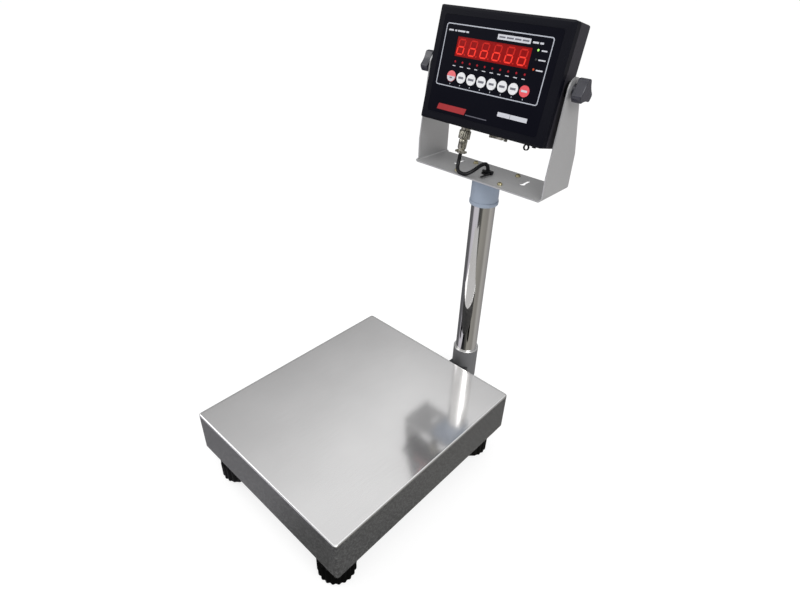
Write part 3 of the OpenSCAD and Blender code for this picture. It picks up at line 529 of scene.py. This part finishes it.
# ------------------------------------------------------------------ levelling feet
def foot(key):
    """Round foot with a ribbed grip, hollow round its stud."""
    sx, sy = FEET[key]
    ribs, rib_depth = 20, 0.0023
    core_r, grip_low, grip_high = 0.0235, 0.0035, 0.033
    bm = bmesh.new()

    def scallop(a, r, z):
        if r < core_r or z < grip_low or z > grip_high:
            return r
        wave = 0.5 + 0.5 * math.cos(ribs * a)
        return r - rib_depth * (1 - wave ** 0.55)

    profile = [(0.0052, 0.0078), (0.0052, 0.0012), (0.019, 0.0), (0.0228, 0.0006), (0.0240, 0.0030),
               (0.0262, 0.0042), (0.0265, 0.0060), (0.0265, 0.0140), (0.0265, 0.0220), (0.0265, 0.0310),
               (0.0258, 0.0328), (0.0235, 0.0340), (0.0150, 0.0342), (0.0135, 0.0350), (0.0125, 0.0372),
               (0.0112, 0.0380), (0.0052, 0.0380)]
    lathe(bm, profile, 240, scallop, closed=True)
    obj = add_mesh(f"foot_grip_{key}", bm, ["foot_rubber"], f"foot_{key}_knob",
                   Matrix.Translation((sx * FOOT_X, PLAT_Y + sy * FOOT_Y, 0)))
    weighted(obj)
    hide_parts(f"foot_knob_{key}")


for k in FEET:
    foot(k)


# ------------------------------------------------------------------ column
def column():
    """The chromed tube, from its socket to the cap."""
    outer, inner = 0.0190, 0.0175
    low, high = 0.0182, 0.4000
    tube = bmesh.new()
    lathe(tube, [(inner, low), (outer, low), (outer, 0.100), (outer, 0.250), (outer, high - 0.0005),
                 (outer - 0.0003, high), (inner, high), (inner, 0.2)], 160, closed=True)
    obj = add_mesh("tube_shell", tube, ["tube_steel"], "base", Matrix.Translation(COLUMN))
    weighted(obj)
    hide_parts("column_tube")


column()


# ------------------------------------------------------------------ clamp knobs
def knob(side):
    """Three-lobed grip on a round hub: wide hollow flanks, a flat end and softened edges."""
    s = -1 if side == "left" else 1
    bm = bmesh.new()
    x0 = 0.1133                     # where the hub starts, from the indicator's middle
    rim, root, flute = 0.0163, 0.0105, 0.0326
    hub_limit = 0.0090
    soft = 0.0006
    reach = root + flute
    third = 2 * math.pi / 3
    flat = x0 + 0.0175

    def lobed(a, r, z):
        if r < hub_limit:
            return r
        off = third / 2 - abs((a + third / 2) % third - third / 2)
        cut = reach * math.cos(off) - math.sqrt(max(0.0, flute ** 2 - (reach * math.sin(off)) ** 2))
        low, high = min(cut, rim), max(cut, rim)
        return r * (low - soft * math.exp(-(high - low) / (2 * soft))) / rim

    profile = [(0.0042, x0), (0.0079, x0), (0.0084, x0 + 0.0005), (0.0084, x0 + 0.0040),
               (0.0150, x0 + 0.0040), (0.0160, x0 + 0.0043), (0.0163, x0 + 0.0050), (0.0163, x0 + 0.0110),
               (0.0163, x0 + 0.0163), (0.0160, x0 + 0.0170), (0.0154, x0 + 0.0174), (0.0145, flat),
               (0.0091, flat), (0.0040, flat), (0.0005, flat)]
    lathe(bm, profile, 240, lobed)
    lobe = math.radians(10)         # of the first lobe, from straight up
    axis = Vector((s, 0, 0))
    first = Vector((0, -math.sin(lobe), math.cos(lobe)))
    turn = Matrix((first, axis.cross(first), axis)).transposed().to_4x4()
    obj = add_mesh(f"knob_grip_{side}", bm, ["knob_black"], f"clamp_{side}_knob", HEAD @ turn)
    weighted(obj)
    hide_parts(f"clamp_knob_{side}")


knob("left")
knob("right")


# ------------------------------------------------------------------ printed face
PRINT = (FACE_Y - 0.00008, FACE_Y + 0.00012)        # front and back of the ink, in depth


def bars(bm, row):
    """Short printed bars standing for captions: (x0, x1, z0, z1) in mm."""
    for x0, x1, z0, z1 in row:
        slab(bm, box_points(x0 * MM, x1 * MM, z0 * MM, z1 * MM), *PRINT)


def face_print():
    """The border round the display and keys, and the plain blocks that stand for captions."""
    bm = bmesh.new()
    frame_strip(bm, rounded(-0.0861, 0.0817, -0.0268, 0.0537, 0.0035),
                rounded(-0.0848, 0.0804, -0.0255, 0.0524, 0.0024), *PRINT)
    border = add_mesh("face_border", bm, ["print_silver"], "indicator", HEAD, False)

    bm = bmesh.new()
    # caption at the top left
    bars(bm, [(x0, x1, 44.0, 46.0) for x0, x1 in ((-81, -73), (-70.5, -67), (-65.5, -53), (-51.5, -47))])
    # bar at the top, and the caption to its right
    slab(bm, rounded(0.000, 0.0500, 0.0422, 0.0485, 0.0006, 2), *PRINT)
    bars(bm, [(53, 61.5, 43.8, 46.0), (63.5, 68.5, 43.8, 46.0)])
    # captions of the lamps, in the row and in the column
    for i in range(10):
        x = -59.6 + i * 12.52
        bars(bm, [(x - 3.0, x + (2.6 if i % 3 else 1.8), 0.6, 1.7)])
    bars(bm, [(68.0, 76.0, 36.0, 37.6), (66.8, 77.0, 25.2, 26.7), (67.0, 76.6, 13.2, 14.8)])
    # the pale strip at the bottom right
    slab(bm, box_points(0.0275, 0.0470, -0.0497, -0.0440), *PRINT)
    slab(bm, box_points(0.0475, 0.0735, -0.0497, -0.0440), *PRINT)
    # grey blocks on the bar at the top
    for x0, x1 in ((2.5, 12.0), (14.0, 24.5), (26.5, 36.0), (38.0, 47.5)):
        slab(bm, box_points(x0 * MM, x1 * MM, 0.0444, 0.0463), PRINT[0] - 0.00005, PRINT[1], 1)
    captions = add_mesh("face_captions", bm, ["print_white", "print_grey"], "indicator", HEAD, False)


face_print()

DIGIT_Y = (FACE_Y + 0.00035, FACE_Y + 0.00058)      # the figures lie just behind the film


def digits():
    """Six seven-segment figures behind the window, slanted a little; the upper halves are dimmer."""
    lit, dim = bmesh.new(), bmesh.new()
    x_left, z_mid = -0.0635, 0.0260
    pitch = 0.1180 / 6
    half_h, half_w, thick = 0.0092, 0.0052, 0.0019
    slant = 0.10
    gap, taper = 0.22, 0.42                         # of each stroke's ends, in strokes' widths
    nudge = 0.0012                                  # to the left, for the decimal point
    point_gap, point_r = 0.0026, 0.0010

    def seg(bm, ax, az, bx, bz):
        a, b = Vector((ax, az)), Vector((bx, bz))
        t = (b - a).normalized()
        n = Vector((-t.y, t.x)) * thick / 2
        a2, b2 = a + t * thick * gap, b - t * thick * gap
        tip = t * thick * taper
        pts = [a2, a2 + tip - n, b2 - tip - n, b2, b2 - tip + n, a2 + tip + n]
        slab(bm, [(p.x + (p.y - z_mid) * slant, p.y) for p in pts], *DIGIT_Y)

    for i in range(6):
        cx = x_left + (i + 0.5) * pitch - nudge
        l, r = cx - half_w, cx + half_w
        b, t = z_mid - half_h, z_mid + half_h
        for side in (l, r):
            seg(lit, side, b, side, z_mid)
            seg(dim, side, z_mid, side, t)
        for height, group in ((b, lit), (z_mid, lit), (t, dim)):
            seg(group, l, height, r, height)
        slab(dim, disc(cx + half_w + point_gap, b, point_r, 14), *DIGIT_Y)
    for name, group, mat in (("digit_segments", lit, "digit_lit"), ("digit_points", dim, "digit_dim")):
        obj = add_mesh(name, group, [mat], "indicator", HEAD, False)


digits()


def lamps():
    """Small domes on the face, at (x, z) in mm."""
    # (radius, depth), from the rim to the crown
    dome = ((0.00145, 0.0006), (0.00145, 0.0), (0.0013, -0.0003), (0.0009, -0.00055), (0.0004, -0.00068))
    for name, mat, spots in (
        ("lamps_row", "led_red", [(-59.55 + i * 12.5, 6.7) for i in range(10)]),
        ("lamp_green", "led_green", [(63.2, 37)]),
        ("lamp_amber", "led_bright", [(63.2, 14.5)]),
        ("lamp_off", "led_off", [(63.2, 26)]),
    ):
        bm = bmesh.new()
        for x, z in spots:
            rings_to_mesh(bm, [[(px, FACE_Y + y, pz) for px, pz in disc(x * MM, z * MM, r, 20)]
                               for r, y in dome])
        obj = add_mesh(name, bm, [mat], "indicator", HEAD)


lamps()


def key_prints():
    """A mark on each of the eight keys, and a small figure below each."""
    z, y = -0.0126, FACE_Y - 0.0008
    key_r, pitch = 0.0070, 17.1
    ink, back = y - 0.0001, y + 0.0001
    half_widths = (0.0042, 0.0048, 0.0046, 0.0040, 0.0044, 0.0042)      # marks of the white keys
    for i in range(8):
        x = (-1.1 + (i - 3.5) * pitch) * MM
        bm = bmesh.new()
        if i == 0:
            lower_half = [p for p in disc(x, z, key_r, 48) if p[1] < z + 0.0001]
            slab(bm, lower_half, y - 0.00006, back, 1)
            slab(bm, box_points(x - 0.0020, x + 0.0020, z - 0.0030, z - 0.0012), ink, back, 0)
        elif i == 7:
            slab(bm, box_points(x - 0.0045, x + 0.0045, z - 0.0013, z + 0.0013), ink, back, 1)
        else:
            w = half_widths[i - 1]
            slab(bm, box_points(x - w, x + w, z - 0.0014, z + 0.0014), ink, back, 0)
        obj = add_mesh(f"key_mark_{i + 1}", bm, ["print_dark", "print_white"], f"key_{i + 1}", HEAD, False)
        fig = bmesh.new()
        bars(fig, [(x / MM - 0.5, x / MM + 0.5, -23.6, -21.8)])
        obj = add_mesh(f"key_figure_{i + 1}", fig, ["print_silver"], "indicator", HEAD, False)


key_prints()


def badge():
    """A plain slanted red bar and a thin grey line, below the keypad's border."""
    bm = bmesh.new()
    slab(bm, [(-0.0755, -0.0590), (-0.0260, -0.0590), (-0.0235, -0.0508), (-0.0730, -0.0508)], *PRINT, 0)
    slab(bm, box_points(-0.0235, 0.0125, -0.0590, -0.0578), *PRINT, 1)
    obj = add_mesh("face_badge", bm, ["print_red", "print_grey"], "indicator", HEAD, False)


badge()


# ------------------------------------------------------------------ CAD nodes: finishes
# material -> edge width -> the nodes that have them
FINISH = {
    "frame_paint": {0.0008: ("base_frame", "load_frame", "column_arm")},
    "zinc_steel": {
        0.0: ("foot_stud_fl", "foot_stud_fr", "foot_stud_rl", "foot_stud_rr",
              "clamp_stud_left", "clamp_stud_right"),
        0.0002: ("cell_bolts_lower", "cell_bolts_upper", "column_fasteners", "case_screws"),
        0.0003: ("cell_spacer", "overload_stops", "column_plug"),
        0.0004: ("foot_lock_nuts",),
    },
    "cell_alloy": {0.0004: ("load_cell",)},
    "level_vial": {0.0006: ("bubble_level",)},
    "collar_plastic": {0.0006: ("column_socket",)},
    "ring_bright": {0.0003: ("collar_ring",)},
    "cap_plastic": {0.0010: ("top_cap",)},
    "bracket_steel": {0.0004: ("head_bracket",)},
    "screw_zinc": {0.0002: ("bracket_screws",)},
    "black_rubber": {0.0: ("housing_gasket",), 0.0003: ("cable_grommet",), 0.0006: ("platter_pads",)},
    "black_nylon": {0.0003: ("cable_tie", "cord_clip")},
    "front_shell": {0.0008: ("front_housing",)},
    "rear_shell": {0.0008: ("rear_housing",)},
    "overlay_film": {0.0: ("keypad_overlay",)},
    "window_red": {0.0: ("display_window",)},
    "digit_dim": {0.0: ("led_digits",)},
    "led_off": {0.0: ("status_leds",)},
    "board_green": {0.0: ("main_board",)},
    "battery_wrap": {0.0015: ("battery",)},
    "bush_black": {0.0005: ("pivot_bushes",)},
    "plug_metal": {0.0003: ("receptacle", "serial_port", "plug_shell", "plug_clamp", "plug_nut")},
    "key_pink": {0.0005: ("key_1",)},
    "key_white": {0.0005: ("key_2", "key_3", "key_4", "key_5", "key_6", "key_7")},
    "key_red": {0.0005: ("key_8",)},
}


def finish_nodes():
    """Gives each CAD node that still shows its material and softened edges."""
    finish_of = {}
    for mat, widths in FINISH.items():
        for width, names in widths.items():
            for name in names:
                finish_of[name] = (mat, width)
    for name, obj in nodes.items():
        if obj.hide_render:
            continue
        mat, width = finish_of[name]
        obj.data.materials.clear()
        obj.data.materials.append(M[mat])
        weld = obj.modifiers.new("weld", "WELD")
        weld.merge_threshold = 2e-6
        if width:
            bevel(obj, width)
        else:
            split = obj.modifiers.new("split", "EDGE_SPLIT")
            split.split_angle = SHARP


finish_nodes()


# ------------------------------------------------------------------ floor and light
# brightness of the floor in mirrors, by direction from the column: 0 is -X, then -Y, +X, +Y
FLOOR_BANDS = [
    (0.00, (0.12, 0.12, 0.13)), (0.075, (0.14, 0.14, 0.15)), (0.11, (0.62, 0.60, 0.66)),
    (0.235, (0.66, 0.65, 0.70)), (0.265, (0.06, 0.06, 0.06)), (0.33, (0.10, 0.10, 0.09)),
    (0.36, (0.34, 0.33, 0.30)), (0.50, (0.28, 0.27, 0.25)), (0.56, (0.46, 0.45, 0.43)),
    (0.70, (0.34, 0.33, 0.33)), (0.84, (0.16, 0.16, 0.16)), (1.00, (0.12, 0.12, 0.13)),
]
# the floor's own colour and glow, and what the camera sees beyond its edge
PAPER = (0.35, 0.35, 0.35, 1)
PAPER_GLOW = (0.74, 0.74, 0.74, 1)
BACKDROP = (0.93, 0.93, 0.94)


def floor_paper():
    """Pale paper. What mirrors see of it is darker, with the room's bands round the column."""
    mat = bpy.data.materials.new("floor_paper")
    mat.use_nodes = True
    tree = mat.node_tree
    tree.nodes.clear()
    white = tree_node(tree, "ShaderNodeBsdfDiffuse")
    white.inputs["Color"].default_value = PAPER
    glow = tree_node(tree, "ShaderNodeEmission")
    glow.inputs["Color"].default_value = PAPER_GLOW
    both = tree_node(tree, "ShaderNodeAddShader")
    tree.links.new(white.outputs[0], both.inputs[0])
    tree.links.new(glow.outputs[0], both.inputs[1])

    where = tree_node(tree, "ShaderNodeNewGeometry")
    xyz = tree_node(tree, "ShaderNodeSeparateXYZ")
    tree.links.new(where.outputs["Position"], xyz.inputs[0])
    dy = tree_math(tree, "SUBTRACT", xyz.outputs[1], COLUMN.y)
    angle = tree_math(tree, "ARCTAN2", dy, xyz.outputs[0])
    turn = tree_math(tree, "ADD", tree_math(tree, "MULTIPLY", angle, 1 / (2 * math.pi)), 0.5)
    mirrored = tree_node(tree, "ShaderNodeEmission")
    tree.links.new(tree_ramp(tree, turn, FLOOR_BANDS), mirrored.inputs["Color"])

    path = tree_node(tree, "ShaderNodeLightPath")
    choice = tree_node(tree, "ShaderNodeMixShader")
    tree.links.new(path.outputs["Is Glossy Ray"], choice.inputs[0])
    tree.links.new(both.outputs[0], choice.inputs[1])
    tree.links.new(mirrored.outputs[0], choice.inputs[2])
    out = tree_node(tree, "ShaderNodeOutputMaterial")
    tree.links.new(choice.outputs[0], out.inputs["Surface"])
    return mat


def room():
    """Soft studio room: bright overhead, dark low down in front; a plain pale backdrop to the camera."""
    world = bpy.data.worlds.new("studio")
    world.use_nodes = True
    scene.world = world
    tree = world.node_tree
    bg = tree.nodes["Background"]
    coord = tree_node(tree, "ShaderNodeTexCoord")
    xyz = tree_node(tree, "ShaderNodeSeparateXYZ")
    tree.links.new(coord.outputs["Generated"], xyz.inputs[0])
    height = xyz.outputs[2]

    def share(axis):
        """The direction along an axis, from 0 at its minus end to 1 at its plus end."""
        return tree_math(tree, "ADD", tree_math(tree, "MULTIPLY", xyz.outputs[axis], 0.5), 0.5)

    front = tree_ramp(tree, height, [(0.0, 0.06), (0.26, 0.09), (0.44, 0.85), (0.60, 1.0)])
    back = tree_ramp(tree, height, [(0.0, 0.22), (0.30, 0.28), (0.50, 0.40), (0.60, 0.66), (0.70, 0.94),
                                    (0.82, 1.0)])
    left = tree_ramp(tree, share(0), [(0.14, 0.40), (0.26, 1.0)])
    far = tree_ramp(tree, share(1), [(0.79, 1.0), (0.845, 0.72)])
    shaded = tree_mix(tree, 1.0, back, tree_math(tree, "MULTIPLY", left, far), "MULTIPLY")
    to_back = tree_ramp(tree, share(1), [(0.42, 0.0), (0.62, 1.0)])
    sky = tree_mix(tree, to_back, front, shaded)
    path = tree_node(tree, "ShaderNodeLightPath")
    tree.links.new(tree_mix(tree, path.outputs["Is Camera Ray"], sky, BACKDROP), bg.inputs["Color"])
    bg.inputs["Strength"].default_value = 1.0


def stage():
    """Floor just below the feet, the room round it, and two soft lights."""
    floor_r, floor_top, floor_low, hole_r = 30.0, -0.0002, -0.0302, 0.001
    bm = bmesh.new()
    lathe(bm, [(hole_r, floor_low), (floor_r, floor_low), (floor_r, floor_top), (hole_r, floor_top)], 64)
    me = bpy.data.meshes.new("floor")
    bm.to_mesh(me)
    bm.free()
    floor = bpy.data.objects.new("floor", me)
    scene.collection.objects.link(floor)
    me.materials.append(floor_paper())
    room()

    def area(name, place, size, energy):
        """A soft light that faces the middle of the object."""
        data = bpy.data.lights.new(name, "AREA")
        data.shape = "RECTANGLE"
        data.size, data.size_y = size
        data.energy = energy
        lamp = bpy.data.objects.new(name, data)
        scene.collection.objects.link(lamp)
        lamp.location = place
        aim = Vector((0, 0, 0.2)) - Vector(place)
        lamp.rotation_euler = aim.to_track_quat("-Z", "Y").to_euler()

    area("key_light", (1.6, -0.6, 2.0), (1.2, 1.2), 22)
    area("fill_light", (-1.8, -1.2, 1.5), (1.5, 1.0), 8)


stage()
scene.view_settings.view_transform = "Standard"
